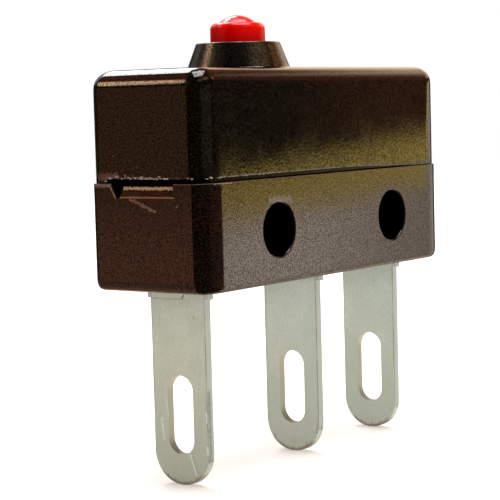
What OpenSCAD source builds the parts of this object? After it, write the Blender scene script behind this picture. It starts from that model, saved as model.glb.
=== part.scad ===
// Subminiature snap action switch with a pin plunger and three solder terminals.
// The origin lies midway between the two mounting holes, at half the thickness of the case.
// X runs along the case, away from the plunger end. Z points the way that the plunger stands out.

/* [Case] */
// Length of the case
case_l = 19.8; // [19.5:0.1:22]
// Thickness of the case, between the two faces that the screws pass through
case_w = 6.35; // [6.1:0.05:7.5]
// Height of the base, from its underside to its joint with the cover
base_h = 4.68; // [4.4:0.01:5.4]
// Height of the cover, from the joint to its flat top
cover_h = 4.87; // [4.6:0.01:6]
// How far the middle of the case lies from the middle of the two mounting holes
case_shift = -0.38; // [-0.6:0.01:-0.1]
// Radius of the base's four upright corners
corner_r = 0.75; // [0.5:0.05:1.1]
// Radius of the cover's four upright corners
cover_corner_r = 0.85; // [0.5:0.05:1.1]
// Rounding of the top edges at the two ends of the cover
end_edge_r = 1; // [0.5:0.05:1.3]
// Rounding of the two long top edges of the cover
side_edge_r = 0.75; // [0.3:0.05:0.9]
// Rounding of the edges under the two ends of the base
foot_end_r = 0.5; // [0.15:0.05:0.7]
// Rounding of the two long edges under the base
foot_side_r = 0.2; // [0.1:0.05:0.6]
// How far the cover stands back from the sides of the base
cover_inset = 0.05; // [0.03:0.01:0.12]
// Thickness of the cover's side walls
wall_t = 0.9; // [0.75:0.05:1]
// Thickness of the cover's roof
roof_t = 0.95; // [0.7:0.05:1.1]
// Radius of the upright corners inside the case
inner_r = 0.3; // [0.2:0.05:0.5]

/* [Joint of cover and base] */
// Height of the base's spigot, which stands up inside the cover
spigot_h = 0.7; // [0.4:0.05:0.9]
// Thickness of the spigot's wall
spigot_t = 0.5; // [0.4:0.05:0.55]
// Gap between the spigot and the cover
spigot_clear = 0.05; // [0.03:0.01:0.08]
// Height of the open seam under the cover's edge
seam_h = 0.2; // [0.1:0.01:0.25]
// Depth of the open seam
seam_depth = 0.45; // [0.3:0.05:0.5]
// How far from the middle of the holes the seam starts to close
seam_full_x = 1.4; // [0:0.1:3]
// How far from the middle of the holes the seam has closed
seam_end_x = 8; // [6:0.1:8.5]
// Place across the end face where the seam stops short of the back corner
seam_back_y = 2.05; // [1.9:0.05:2.2]
// Width of the prying notch in the end face
notch_w = 3.1; // [2.6:0.1:3.2]
// How far the notch's middle lies from the middle of the end face
notch_shift = -0.1; // [-0.15:0.05:0]
// Depth of the notch's ledge below the joint
notch_drop = 0.1; // [0.05:0.05:0.3]
// Height of the bevel under the ledge
notch_bevel_h = 0.48; // [0.2:0.02:0.6]
// How far the ledge runs into the end face
notch_depth = 0.6; // [0.4:0.05:0.7]
// How far the bevel runs into the end face
notch_bevel_depth = 0.2; // [0.15:0.01:0.35]
// Width of the slit at the back end of the notch, at its mouth
slit_w = 0.34; // [0.2:0.02:0.4]
// Depth of the slit below the joint
slit_drop = 0.62; // [0.4:0.02:0.8]

/* [Mounting holes] */
// Distance between the two mounting holes
hole_pitch = 9.5; // [9.2:0.1:9.8]
// Diameter of the mounting holes
hole_d = 2.4; // [2:0.05:2.5]
// Height of the mounting holes above the underside of the base
hole_z = 2.4; // [2:0.05:2.6]
// Chamfer at the mouths of the mounting holes
hole_chamfer = 0.08; // [0.04:0.01:0.15]

/* [Plunger] */
// Distance of the plunger from the middle of the two mounting holes
plunger_x = -3.15; // [-3.6:0.01:-2.9]
// Diameter of the plunger where it slides
plunger_d = 2.49; // [2.1:0.01:2.6]
// Running clearance all round the plunger
plunger_clear = 0.05; // [0.03:0.01:0.08]
// Height of the plunger's shoulder above the cover
plunger_h = 2.07; // [1.85:0.01:2.4]
// Rounding of the plunger's shoulder
shoulder_r = 0.3; // [0.06:0.02:0.36]
// Diameter of the domed tip
dome_d = 1.7; // [1.4:0.05:1.8]
// Height of the domed tip above the shoulder
dome_h = 0.34; // [0.2:0.02:0.45]
// Travel of the plunger
travel = 0.45; // [0.4:0.01:0.5]
// Diameter of the retaining flange under the roof
flange_d = 3.3; // [3:0.05:3.6]
// Thickness of the retaining flange
flange_t = 0.55; // [0.4:0.05:0.65]
// Diameter of the nose that presses the spring
nose_d = 1.3; // [1:0.05:1.4]

/* [Boss] */
// Height of the boss round the plunger
boss_h = 1.17; // [0.9:0.01:1.3]
// Diameter of the boss at its foot
boss_foot_d = 4.7; // [4.4:0.05:5]
// Diameter of the boss at its rim
boss_rim_d = 3.8; // [3.5:0.02:4]
// Rounding of the rim
boss_rim_r = 0.08; // [0.05:0.01:0.2]

/* [Solder terminals] */
// Distance of the common terminal from the plunger end of the case
common_inset = 2.33; // [2.1:0.01:2.4]
// Distance of the normally open terminal from the common one
open_pitch = 8.62; // [8.4:0.01:9]
// Distance of the normally closed terminal from the far end of the case
closed_inset = 1.9; // [1.8:0.01:2.1]
// Width of a terminal blade
blade_w = 3; // [2.6:0.05:3.1]
// Thickness of the terminals' sheet
blade_t = 0.4; // [0.35:0.01:0.45]
// Length of a blade below the case
blade_l = 8.7; // [7:0.05:9.5]
// Width of the wire slot
slot_w = 1.38; // [1:0.02:1.5]
// Length of the wire slot
slot_l = 3.5; // [2.5:0.05:4]
// Distance from the tip of the blade to the slot
slot_to_tip = 1.35; // [1.2:0.05:1.6]
// Width of the shoulder that seats under the case
shoulder_w = 3.35; // [3.2:0.05:3.6]
// Height of the shoulder
shoulder_h = 0.45; // [0.3:0.05:0.7]
// Gap round a blade in its slot through the base
blade_clear = 0.02; // [0.01:0.01:0.04]

/* [Snap mechanism] */
// Thickness of the floor above the mounting holes
floor_web = 0.35; // [0.25:0.01:0.45]
// Width of the arms that carry the fixed contacts
arm_w = 2.2; // [2:0.05:2.4]
// Height of the lower arm above the floor of the pocket
arm_lift = 0.4; // [0.3:0.02:0.5]
// Distance of the contacts from the normally closed terminal
contact_reach = 2.42; // [2:0.02:2.6]
// Sheet left beyond a contact's head
contact_margin = 0.1; // [0.05:0.01:0.2]
// Diameter of the contact heads
contact_d = 1.7; // [1.4:0.05:1.8]
// Thickness of a fixed contact's head
contact_t = 0.4; // [0.3:0.02:0.45]
// Thickness of each head of the moving contact
moving_t = 0.35; // [0.25:0.02:0.4]
// Gap that the moving contact crosses
contact_gap = 0.55; // [0.5:0.01:0.6]
// Clearance at a contact that is closed
touch_clear = 0.03; // [0.02:0.01:0.05]
// Diameter of the rivet shanks
shank_d = 0.8; // [0.6:0.05:0.9]
// Gap round the rivet shanks
shank_clear = 0.03; // [0.02:0.01:0.05]
// Height of the upset end of a rivet
upset_h = 0.12; // [0.08:0.01:0.18]
// Diameter of the upset end of a rivet
upset_d = 1.2; // [1.1:0.05:1.3]
// Thickness of the spring's sheet
spring_t = 0.16; // [0.12:0.01:0.2]
// Width of the spring at its root and its contact end
spring_w = 2.5; // [2.4:0.05:2.7]
// Width of the spring's centre strip
strip_w = 0.9; // [0.8:0.05:1]
// Width of each bowed leg
leg_w = 0.55; // [0.4:0.05:0.6]
// Length of the spring's contact end, behind the contact's head
pad_l = 1.1; // [0.9:0.05:1.3]
// How high the legs bow above a straight line
leg_rise = 0.55; // [0.4:0.05:0.7]
// How far the legs' notches lie below the spring
notch_level = 0.12; // [0.05:0.01:0.2]
// Room that the spring keeps above its shelf and under its rivet
flex_clear = 0.05; // [0.04:0.01:0.08]
// Length of the shelf that carries the spring's root
shelf_l = 1.5; // [1.4:0.05:1.7]
// Distance of the notched ears from the plunger
ear_reach = 2; // [1.8:0.05:2.2]
// Height of the opening of each ear's notch
ear_notch_h = 0.7; // [0.6:0.05:0.8]
// Sheet left above and beside each notch
ear_margin = 0.1; // [0.05:0.01:0.15]
// Gap between the end of a leg and its ear
leg_clear = 0.07; // [0.05:0.01:0.1]

/* [Hidden] */
$fn = 64;
// Overlap of a cut past the face that it opens
cut = 0.5;

underside_z = -hole_z;
joint_z = base_h - hole_z;
top_z = joint_z + cover_h;
roof_z = top_z - roof_t;
floor_z = hole_d / 2 + floor_web;
tip_z = underside_z - blade_l;
left_x = case_shift - case_l / 2;
right_x = case_shift + case_l / 2;

cavity_l = case_l - 2 * cover_inset - 2 * wall_t;
cavity_w = case_w - 2 * cover_inset - 2 * wall_t;
spigot_l = cavity_l - 2 * spigot_clear;
spigot_w = cavity_w - 2 * spigot_clear;
pocket_l = spigot_l - 2 * spigot_t;
pocket_w = spigot_w - 2 * spigot_t;

// Heights of the mechanism, stacked from the floor of the pocket
lower_arm_z = floor_z + arm_lift;
open_face_z = lower_arm_z + blade_t + contact_t;
moving_z = open_face_z + touch_clear + contact_gap;
spring_z = moving_z + moving_t;
spring_top_z = spring_z + spring_t;
closed_face_z = spring_top_z + moving_t + touch_clear;
upper_arm_z = closed_face_z + contact_t;
shelf_z = spring_z - flex_clear;

// Places along the case
common_x = left_x + common_inset;
open_x = common_x + open_pitch;
closed_x = right_x - closed_inset;
contact_x = closed_x - contact_reach;
arm_reach = contact_d / 2 + contact_margin;
rivet_x = common_x + shelf_l / 2;
pad_x = contact_x - contact_d / 2 - pad_l;
spring_end_x = contact_x + arm_reach;
ear_x = plunger_x + ear_reach;
ear_face_x = ear_x + blade_t / 2;
leg_tip_x = ear_face_x + leg_clear;
leg_y = (spring_w - leg_w) / 2;

// Swing of the spring about its root, in radians, and the play that it leaves under the plunger's nose
swing = contact_gap / (spring_end_x - contact_margin - rivet_x);
free_play = travel - swing * (plunger_x - rivet_x) + touch_clear / 2;

// A rectangle with four round corners, centred on the origin
module round_rectangle(l, w, r) {
    square([l - 2 * r, w], center = true);
    square([l, w - 2 * r], center = true);
    for (x = [-1, 1], y = [-1, 1])
        translate([x * (l / 2 - r), y * (w / 2 - r)])
            circle(r);
}

// A rectangle that stands on the X axis, with its two upper corners round
module round_top(w, h, r) {
    translate([-w / 2, 0])
        square([w, h - r]);
    translate([r - w / 2, 0])
        square([w - 2 * r, h]);
    for (side = [-1, 1])
        translate([side * (w / 2 - r), h - r])
            circle(r);
}

// A moulded block that stands on z = 0: its plan, front view and end view are all rounded outlines
module moulded_block(l, w, h, plan_r, end_r, side_r) {
    intersection() {
        linear_extrude(h)
            round_rectangle(l, w, plan_r);
        rotate([90, 0, 0])
            linear_extrude(w + 2 * cut, center = true)
                round_top(l, h, end_r);
        rotate([90, 0, 90])
            linear_extrude(l + 2 * cut, center = true)
                round_top(w, h, side_r);
    }
}

// A straight wall of rounded plan between two heights, centred on the case
module plan_block(l, w, r, z0, z1) {
    translate([case_shift, 0, z0])
        linear_extrude(z1 - z0)
            round_rectangle(l, w, r);
}

// An outline drawn in X and Z, as thick as w across the case
module across(w, y = 0) {
    translate([0, y, 0])
        rotate([90, 0, 0])
            linear_extrude(w, center = true)
                children();
}

// An upright plate that stands square to the case's length, its outline drawn in Y and Z
module plate(x) {
    translate([x, 0, 0])
        rotate([90, 0, 90])
            linear_extrude(blade_t, center = true)
                children();
}

// A hole for a rivet's shank through a level sheet
module shank_hole(x, z, t) {
    translate([x, 0, z - cut])
        cylinder(d = shank_d + 2 * shank_clear, h = t + 2 * cut);
}

// The two mounting holes with their chamfered mouths
module mounting_holes() {
    for (x = [-1, 1] * hole_pitch / 2)
        translate([x, 0, 0])
            rotate([90, 0, 0]) {
                cylinder(d = hole_d, h = case_w + 2 * cut, center = true);
                for (side = [0, 180])
                    rotate([side, 0, 0])
                        translate([0, 0, case_w / 2 - hole_chamfer])
                            cylinder(d1 = hole_d, d2 = hole_d + 4 * hole_chamfer, h = 2 * hole_chamfer);
            }
}

// The prying notch in the joint edge of the end face: a bevelled ledge and a slit at its back end
module prying_notch() {
    ledge_z = joint_z - notch_drop;
    notch_y = notch_shift + notch_w / 2;
    across(notch_w, notch_shift)
        polygon([
            [left_x - cut, joint_z + cut],
            [left_x - cut, ledge_z - notch_bevel_h],
            [left_x, ledge_z - notch_bevel_h],
            [left_x + notch_bevel_depth, ledge_z],
            [left_x + notch_depth, ledge_z],
            [left_x + notch_depth, joint_z + cut]
        ]);
    translate([left_x - cut, 0, 0])
        rotate([90, 0, 90])
            linear_extrude(notch_depth + cut)
                polygon([
                    [notch_y - slit_w / 2, joint_z + cut],
                    [notch_y - slit_w / 2, joint_z - slit_drop],
                    [notch_y, joint_z - slit_drop],
                    [notch_y + slit_w, joint_z + cut]
                ]);
}

// Lower half of the case
module base() {
    color([0.36, 0.30, 0.26])
        difference() {
            union() {
                translate([case_shift, 0, joint_z])
                    mirror([0, 0, 1])
                        moulded_block(case_l, case_w, base_h, corner_r, foot_end_r, foot_side_r);
                plan_block(spigot_l, spigot_w, inner_r, joint_z - cut, joint_z + spigot_h);
            }
            plan_block(pocket_l, pocket_w, inner_r, floor_z, joint_z + spigot_h + cut);
            mounting_holes();
            for (x = [common_x, open_x, closed_x])
                translate([x, 0, 0])
                    cube([blade_t + 2 * blade_clear, blade_w + 2 * blade_clear, 2 * base_h], center = true);
            prying_notch();
        }
}

// The open seam under the cover's edge, full height at the plunger end and closing towards the far end
module open_seam() {
    front_y = -case_w / 2 - cut;
    land_l = case_l - 2 * cover_inset - 2 * seam_depth;
    land_w = case_w - 2 * cover_inset - 2 * seam_depth;
    difference() {
        across(seam_back_y - front_y, (seam_back_y + front_y) / 2)
            polygon([
                [left_x - cut, joint_z - cut],
                [seam_end_x, joint_z - cut],
                [seam_end_x, joint_z],
                [seam_full_x, joint_z + seam_h],
                [left_x - cut, joint_z + seam_h]
            ]);
        plan_block(land_l, land_w, inner_r, joint_z - 2 * cut, joint_z + 2 * seam_h);
    }
}

// The tapered boss round the plunger, turned about the plunger's axis, with an arc that blends rim and side
module boss() {
    foot_r = boss_foot_d / 2;
    taper = atan2(foot_r - boss_rim_d / 2, boss_h);
    arc = [
        foot_r - (boss_h - boss_rim_r) * tan(taper) - boss_rim_r / cos(taper),
        boss_h - boss_rim_r
    ];
    rotate_extrude() {
        polygon([
            [0, -roof_t / 2],
            [foot_r, -roof_t / 2],
            [foot_r, 0],
            arc + boss_rim_r * [cos(taper), sin(taper)],
            arc,
            [arc.x, boss_h],
            [0, boss_h]
        ]);
        translate(arc)
            circle(boss_rim_r);
    }
}

// Upper half of the case
module cover() {
    color([0.16, 0.12, 0.10])
        difference() {
            union() {
                translate([case_shift, 0, joint_z])
                    moulded_block(
                        case_l - 2 * cover_inset, case_w - 2 * cover_inset, cover_h,
                        cover_corner_r, end_edge_r, side_edge_r
                    );
                translate([plunger_x, 0, top_z])
                    boss();
            }
            plan_block(cavity_l, cavity_w, inner_r, joint_z - cut, roof_z);
            translate([plunger_x, 0, roof_z - cut])
                cylinder(d = plunger_d + 2 * plunger_clear, h = roof_t + boss_h + 2 * cut);
            open_seam();
        }
}

// Half outline of the plunger, turned about its axis: nose, flange, sliding part, shoulder and domed tip
module plunger_outline() {
    shoulder_z = top_z + plunger_h;
    flange_z = roof_z - plunger_clear - flange_t;
    nose_z = spring_top_z + free_play;
    slide_r = plunger_d / 2;
    nose_r = nose_d / 2;
    dome_r = (pow(dome_d / 2, 2) + pow(dome_h, 2)) / (2 * dome_h);
    translate([0, nose_z + nose_r])
        square([nose_r, flange_z - nose_z - nose_r + flange_t / 2]);
    intersection() {
        translate([0, nose_z + nose_r])
            circle(nose_r);
        translate([0, nose_z])
            square([nose_r, nose_r]);
    }
    translate([0, flange_z])
        square([flange_d / 2, flange_t]);
    translate([0, flange_z])
        square([slide_r, shoulder_z - shoulder_r - flange_z]);
    translate([0, flange_z])
        square([slide_r - shoulder_r, shoulder_z - flange_z]);
    intersection() {
        translate([slide_r - shoulder_r, shoulder_z - shoulder_r])
            circle(shoulder_r);
        translate([0, flange_z])
            square([slide_r, shoulder_z - flange_z]);
    }
    intersection() {
        translate([0, shoulder_z + dome_h - dome_r])
            circle(dome_r);
        translate([0, shoulder_z - shoulder_r])
            square([dome_d / 2, dome_h + shoulder_r]);
    }
}

// The red button
module plunger() {
    color([0.78, 0.04, 0.04])
        translate([plunger_x, 0, 0])
            rotate_extrude()
                plunger_outline();
}

// Outline of a solder blade in Y and Z, from its round tip to a height inside the case
module blade_outline(end_z) {
    tip_r = blade_w / 2;
    slot_z = tip_z + slot_to_tip + slot_w / 2;
    slot_run = slot_l - slot_w;
    difference() {
        union() {
            translate([0, tip_z + tip_r])
                circle(tip_r);
            translate([-blade_w / 2, tip_z + tip_r])
                square([blade_w, end_z - tip_z - tip_r]);
            translate([-shoulder_w / 2, underside_z - shoulder_h])
                square([shoulder_w, shoulder_h]);
        }
        for (end = [0, slot_run])
            translate([0, slot_z + end])
                circle(d = slot_w);
        translate([-slot_w / 2, slot_z])
            square([slot_w, slot_run]);
    }
}

// A level arm of the terminals' sheet between two places along the case
module arm(x0, x1, z, w) {
    translate([min(x0, x1), -w / 2, z])
        cube([abs(x1 - x0), w, blade_t]);
}

// The two ears whose notches hold the ends of the spring's legs
module notched_ears() {
    notch_z = spring_z + spring_t / 2 - notch_level;
    for (side = [-1, 1])
        across(leg_w + ear_margin, side * leg_y)
            polygon([
                [ear_x - blade_t / 2, floor_z],
                [ear_face_x, floor_z],
                [ear_face_x, notch_z - ear_notch_h / 2],
                [ear_x, notch_z],
                [ear_face_x, notch_z + ear_notch_h / 2],
                [ear_face_x, notch_z + ear_notch_h / 2 + ear_margin],
                [ear_x - blade_t / 2, notch_z + ear_notch_h / 2 + ear_margin]
            ]);
}

// Terminal at the plunger end, with the shelf for the spring's root and the ears for its legs
module common_terminal() {
    color([0.73, 0.72, 0.63])
        difference() {
            union() {
                plate(common_x)
                    blade_outline(shelf_z);
                arm(common_x - blade_t / 2, common_x + shelf_l, shelf_z - blade_t, spring_w);
                arm(common_x, ear_face_x, floor_z, spring_w + ear_margin);
                notched_ears();
            }
            shank_hole(rivet_x, shelf_z - blade_t, blade_t);
        }
}

// Terminal in the middle, whose arm carries the lower fixed contact
module normally_open_terminal() {
    color([0.73, 0.72, 0.63])
        difference() {
            union() {
                plate(open_x)
                    blade_outline(lower_arm_z + blade_t);
                arm(open_x - blade_t / 2, contact_x + arm_reach, lower_arm_z, arm_w);
            }
            shank_hole(contact_x, lower_arm_z, blade_t);
        }
}

// Terminal at the far end, whose arm carries the upper fixed contact
module normally_closed_terminal() {
    color([0.73, 0.72, 0.63])
        difference() {
            union() {
                plate(closed_x)
                    blade_outline(upper_arm_z + blade_t);
                arm(closed_x + blade_t / 2, contact_x - arm_reach, upper_arm_z, arm_w);
            }
            shank_hole(contact_x, upper_arm_z, blade_t);
        }
}

// One bowed leg of the spring, an arc from the contact end to the notch of an ear
module bowed_leg(side) {
    x0 = leg_tip_x;
    x1 = pad_x;
    z0 = spring_z + spring_t / 2 - notch_level;
    z1 = spring_z + spring_t / 2;
    chord = norm([x1 - x0, z1 - z0]);
    slope = atan2(z1 - z0, x1 - x0);
    bow_r = (pow(chord / 2, 2) + pow(leg_rise, 2)) / (2 * leg_rise);
    across(leg_w, side * leg_y)
        translate([x0, z0])
            rotate(slope)
                translate([chord / 2, leg_rise - bow_r])
                    intersection() {
                        difference() {
                            circle(bow_r + spring_t / 2);
                            circle(bow_r - spring_t / 2);
                        }
                        translate([-chord / 2, 0])
                            square([chord, 2 * bow_r]);
                    }
}

// One-piece snap spring: root, centre strip, contact end and two bowed legs
module snap_spring() {
    root_x = common_x - blade_t / 2;
    root_l = shelf_l + blade_t / 2;
    color([0.72, 0.52, 0.24]) {
        difference() {
            union() {
                translate([root_x, -spring_w / 2, spring_z])
                    cube([root_l, spring_w, spring_t]);
                translate([root_x, -strip_w / 2, spring_z])
                    cube([pad_x - root_x + spring_t, strip_w, spring_t]);
                translate([pad_x - spring_t, -spring_w / 2, spring_z])
                    cube([spring_end_x - pad_x + spring_t, spring_w, spring_t]);
                for (side = [-1, 1])
                    bowed_leg(side);
            }
            shank_hole(rivet_x, spring_z, spring_t);
            shank_hole(contact_x, spring_z, spring_t);
        }
    }
}

// A turned rivet: a head and an upset end on one shank, from the head's face towards +Z
module rivet(head_d, head_t, grip, end_d, end_t) {
    cylinder(d = head_d, h = head_t);
    cylinder(d = shank_d, h = head_t + grip + end_t);
    translate([0, 0, head_t + grip])
        cylinder(d = end_d, h = end_t);
}

// Rivet through the spring's root and the shelf
module spring_rivet() {
    grip = blade_t + spring_t + 2 * flex_clear;
    color([0.75, 0.74, 0.70])
        translate([rivet_x, 0, shelf_z - blade_t - upset_h])
            rivet(upset_d, upset_h, grip, upset_d, upset_h);
}

// Double-headed contact at the free end of the spring
module moving_contact() {
    color([0.85, 0.85, 0.83])
        translate([contact_x, 0, moving_z])
            rivet(contact_d, moving_t, spring_t, contact_d, moving_t);
}

// Fixed contact on the lower arm, facing up
module normally_open_contact() {
    color([0.85, 0.85, 0.83])
        translate([contact_x, 0, open_face_z])
            mirror([0, 0, 1])
                rivet(contact_d, contact_t, blade_t, upset_d, upset_h);
}

// Fixed contact on the upper arm, facing down
module normally_closed_contact() {
    color([0.85, 0.85, 0.83])
        translate([contact_x, 0, closed_face_z])
            rivet(contact_d, contact_t, blade_t, upset_d, upset_h);
}

base();
cover();
plunger();
common_terminal();
normally_open_terminal();
normally_closed_terminal();
snap_spring();
spring_rivet();
moving_contact();
normally_open_contact();
normally_closed_contact();
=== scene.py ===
# %% [markdown]
# # A snap action switch, dressed for its portrait
#
# The real object is a small switch: a brown moulded case in two halves, a red button that stands out of a
# tapered boss, and three tinned solder blades underneath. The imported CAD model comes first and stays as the
# fixed frame. Everything that follows is built round it, in metres, and in the same coordinates.

# %% Load the frame
import math

import bmesh
import bpy
from mathutils import Matrix, Quaternion, Vector, noise


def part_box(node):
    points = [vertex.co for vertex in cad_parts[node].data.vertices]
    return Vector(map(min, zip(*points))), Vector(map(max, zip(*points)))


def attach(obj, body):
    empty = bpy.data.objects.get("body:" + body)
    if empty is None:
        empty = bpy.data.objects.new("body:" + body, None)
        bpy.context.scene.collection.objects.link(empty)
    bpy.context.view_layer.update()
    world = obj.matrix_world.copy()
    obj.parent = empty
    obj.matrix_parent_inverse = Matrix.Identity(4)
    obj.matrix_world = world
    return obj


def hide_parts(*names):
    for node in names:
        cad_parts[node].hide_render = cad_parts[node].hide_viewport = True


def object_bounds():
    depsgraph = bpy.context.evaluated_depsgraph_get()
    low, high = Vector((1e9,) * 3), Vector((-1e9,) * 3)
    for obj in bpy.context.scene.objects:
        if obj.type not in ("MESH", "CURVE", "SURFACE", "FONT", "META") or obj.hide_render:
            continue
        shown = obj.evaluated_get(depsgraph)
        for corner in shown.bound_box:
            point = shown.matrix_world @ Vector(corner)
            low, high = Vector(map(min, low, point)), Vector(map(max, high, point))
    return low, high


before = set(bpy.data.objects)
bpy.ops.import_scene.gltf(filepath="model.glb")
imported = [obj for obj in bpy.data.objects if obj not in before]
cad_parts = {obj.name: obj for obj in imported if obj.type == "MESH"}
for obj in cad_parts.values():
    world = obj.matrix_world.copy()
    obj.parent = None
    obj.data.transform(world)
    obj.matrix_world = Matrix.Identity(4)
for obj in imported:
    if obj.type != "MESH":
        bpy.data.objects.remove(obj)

cad_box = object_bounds()
print("CAD box in mm:", [[round(1000 * c, 2) for c in corner] for corner in cad_box])

# %% [markdown]
# Small parts are easier to think about in millimetres. So each piece is drawn in millimetres and scaled
# once, at the end, when its mesh is finished. The places come from the boxes of the CAD nodes wherever they
# can.

# %% Millimetres
MM = 0.001


def box_mm(node):
    """The lowest and highest corner of a CAD node, in millimetres."""
    low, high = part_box(node)
    return low / MM, high / MM


base_low, base_high = box_mm("base")
cover_low, cover_high = box_mm("cover")
CASE_X = (base_low.x + base_high.x) / 2
JOINT_Z = cover_low.z
UNDER_Z = base_low.z
print("case middle x %.2f, joint z %.2f, underside z %.2f" % (CASE_X, JOINT_Z, UNDER_Z))

# %% [markdown]
# ## Camera
#
# The photograph was taken from a little below the level of the case's top, looking at the near corner.
# Three angles, a distance and a focal length describe that. They could be found by eye, but the edges of
# the case give them exactly, so they were fitted to its edges and are used here as numbers.

# %% Camera
VIEW_AZIMUTH, VIEW_PITCH, VIEW_ROLL = (math.radians(a) for a in (53.901, 4.827, 1.588))
VIEW_TARGET = Vector((-2.655, 0, -1.172)) * MM
VIEW_DISTANCE = 80.539 * MM
SENSOR = 36.0
FOCAL_PIXELS, FRAME_PIXELS = 1746.06, 500

forward = Vector((
    math.sin(VIEW_AZIMUTH) * math.cos(VIEW_PITCH),
    math.cos(VIEW_AZIMUTH) * math.cos(VIEW_PITCH),
    -math.sin(VIEW_PITCH),
))
level_right = forward.cross(Vector((0, 0, 1))).normalized()
level_down = forward.cross(level_right)
right = math.cos(VIEW_ROLL) * level_right + math.sin(VIEW_ROLL) * level_down
down = math.cos(VIEW_ROLL) * level_down - math.sin(VIEW_ROLL) * level_right

camera = bpy.data.objects.new("camera", bpy.data.cameras.new("camera"))
camera.data.sensor_width = SENSOR
camera.data.lens = FOCAL_PIXELS / FRAME_PIXELS * SENSOR
camera.data.clip_start = 1 * MM
camera.data.clip_end = 10
turn = Matrix((right, -down, -forward)).transposed().to_4x4()
camera.matrix_world = Matrix.Translation(VIEW_TARGET - forward * VIEW_DISTANCE) @ turn
bpy.context.scene.collection.objects.link(camera)
bpy.context.scene.camera = camera
print("camera at mm", [round(c / MM, 1) for c in camera.matrix_world.translation])

# %% [markdown]
# ## Node helpers
#
# Materials, the world and Geometry Nodes are all node trees. They could be wired by hand in the editor, but
# a script can be read and run again. One helper makes a node, sets its options and feeds its inputs. The
# others are steps that every tree here needs.


# %% Node helpers
def feed(tree, socket, value):
    """Gives a socket a constant, a link from another socket, or a list of links."""
    sources = value if isinstance(value, list) else [value]
    if isinstance(sources[0], bpy.types.NodeSocket):
        for source in sources:
            tree.links.new(source, socket)
    else:
        socket.default_value = value


def add_node(tree, kind, inputs=None, **options):
    """A new node in a tree, with its inputs given by name or number."""
    made = tree.nodes.new(kind)
    for name, value in options.items():
        setattr(made, name, value)
    for name, value in (inputs or {}).items():
        feed(tree, made.inputs[name], value)
    return made


def out_of(tree, kind, inputs=None, output=0, **options):
    """One output of a new node."""
    return add_node(tree, kind, inputs, **options).outputs[output]


def calc(tree, operation, first, second=0.0):
    """Plain arithmetic on sockets and constants."""
    return out_of(tree, "ShaderNodeMath", {0: first, 1: second}, operation=operation)


def scaled(tree, vector, share):
    """A vector or a colour times a share."""
    return out_of(tree, "ShaderNodeVectorMath", {0: vector, "Scale": share}, operation="SCALE")


def soft_step(tree, value, low, high, to_low=0.0, to_high=1.0):
    """A smooth rise as a value goes from low to high, either way round."""
    span = {"Value": value, "From Min": low, "From Max": high, "To Min": to_low, "To Max": to_high}
    return out_of(tree, "ShaderNodeMapRange", span, interpolation_type="SMOOTHSTEP")


# %% [markdown]
# ## Floor, world and lights
#
# The switch stands on the tips of its blades on a plain pale floor. A single face is enough. It glows a
# little by itself, so that it stays as pale as the background, and the case doesn't mirror it.

# %% Floor
FLOOR_OUTLINE = [(-93, 9), (-20, -92), (160, -174), (330, 40), (200, 260), (40, 194)]
FLOOR_LOOK = {
    "Base Color": (0.86, 0.86, 0.86, 1), "Roughness": 0.9,
    "Emission Color": (1, 1, 1, 1), "Emission Strength": 0.35,
}
floor_z = cad_box[0].z
floor_mesh = bpy.data.meshes.new("floor")
floor_corners = [(x * MM, y * MM, floor_z) for x, y in FLOOR_OUTLINE]
floor_mesh.from_pydata(floor_corners, [], [range(len(floor_corners))])
floor = bpy.data.objects.new("floor", floor_mesh)
floor.visible_glossy = False
bpy.context.scene.collection.objects.link(floor)
floor_paint = bpy.data.materials.new("pale_floor")
floor_paint.use_nodes = True
for name, value in FLOOR_LOOK.items():
    floor_paint.node_tree.nodes["Principled BSDF"].inputs[name].default_value = value
floor_mesh.materials.append(floor_paint)
print("floor at z %.2f mm" % (floor_z / MM))

# %% [markdown]
# A glossy dark moulding shows mostly what it mirrors, so the room round it matters as much as the lights. A
# picture of a room could be wrapped round the scene, but a few soft patches of light are enough, and they
# can be read and changed. Each is a colour with a span of headings and a span of heights, in degrees. The
# slanting band on the front mirrors the edge of a table. The camera itself sees plain white behind the
# part.

# %% Room directions
world = bpy.data.worlds.new("studio")
world.use_nodes = True
bpy.context.scene.world = world
sky = world.node_tree
sky.nodes.clear()
BEHIND = (0.80, 0.57, 0.17)
TABLE_SLOPE, TABLE_LEVEL = 0.186, 4.6
direction = out_of(sky, "ShaderNodeTexCoord", output="Generated")
part_of = add_node(sky, "ShaderNodeSeparateXYZ", {0: direction}).outputs
heading = calc(sky, "DEGREES", calc(sky, "ARCTAN2", part_of[1], part_of[0]))
height = calc(sky, "DEGREES", calc(sky, "ARCSINE", part_of[2]))
behind = out_of(sky, "ShaderNodeVectorMath", {0: direction, 1: BEHIND}, "Value", operation="DOT_PRODUCT")
table_edge = calc(sky, "ADD", calc(sky, "MULTIPLY", heading, TABLE_SLOPE), TABLE_LEVEL)
under_edge = calc(sky, "SUBTRACT", table_edge, height)


def rise(value, *span):
    """A soft step in the room."""
    return soft_step(sky, value, *span)


def between(value, low, high, soft_low, soft_high):
    """1 between two values, with a soft end on each side."""
    return calc(sky, "MULTIPLY", rise(value, low - soft_low, low), rise(value, high + soft_high, high))


def patch(colour, *shares):
    """A lit part of the room: a colour, held to where all its shares are above zero."""
    share = shares[0]
    for other in shares[1:]:
        share = calc(sky, "MULTIPLY", share, other)
    return scaled(sky, colour, share)


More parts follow.
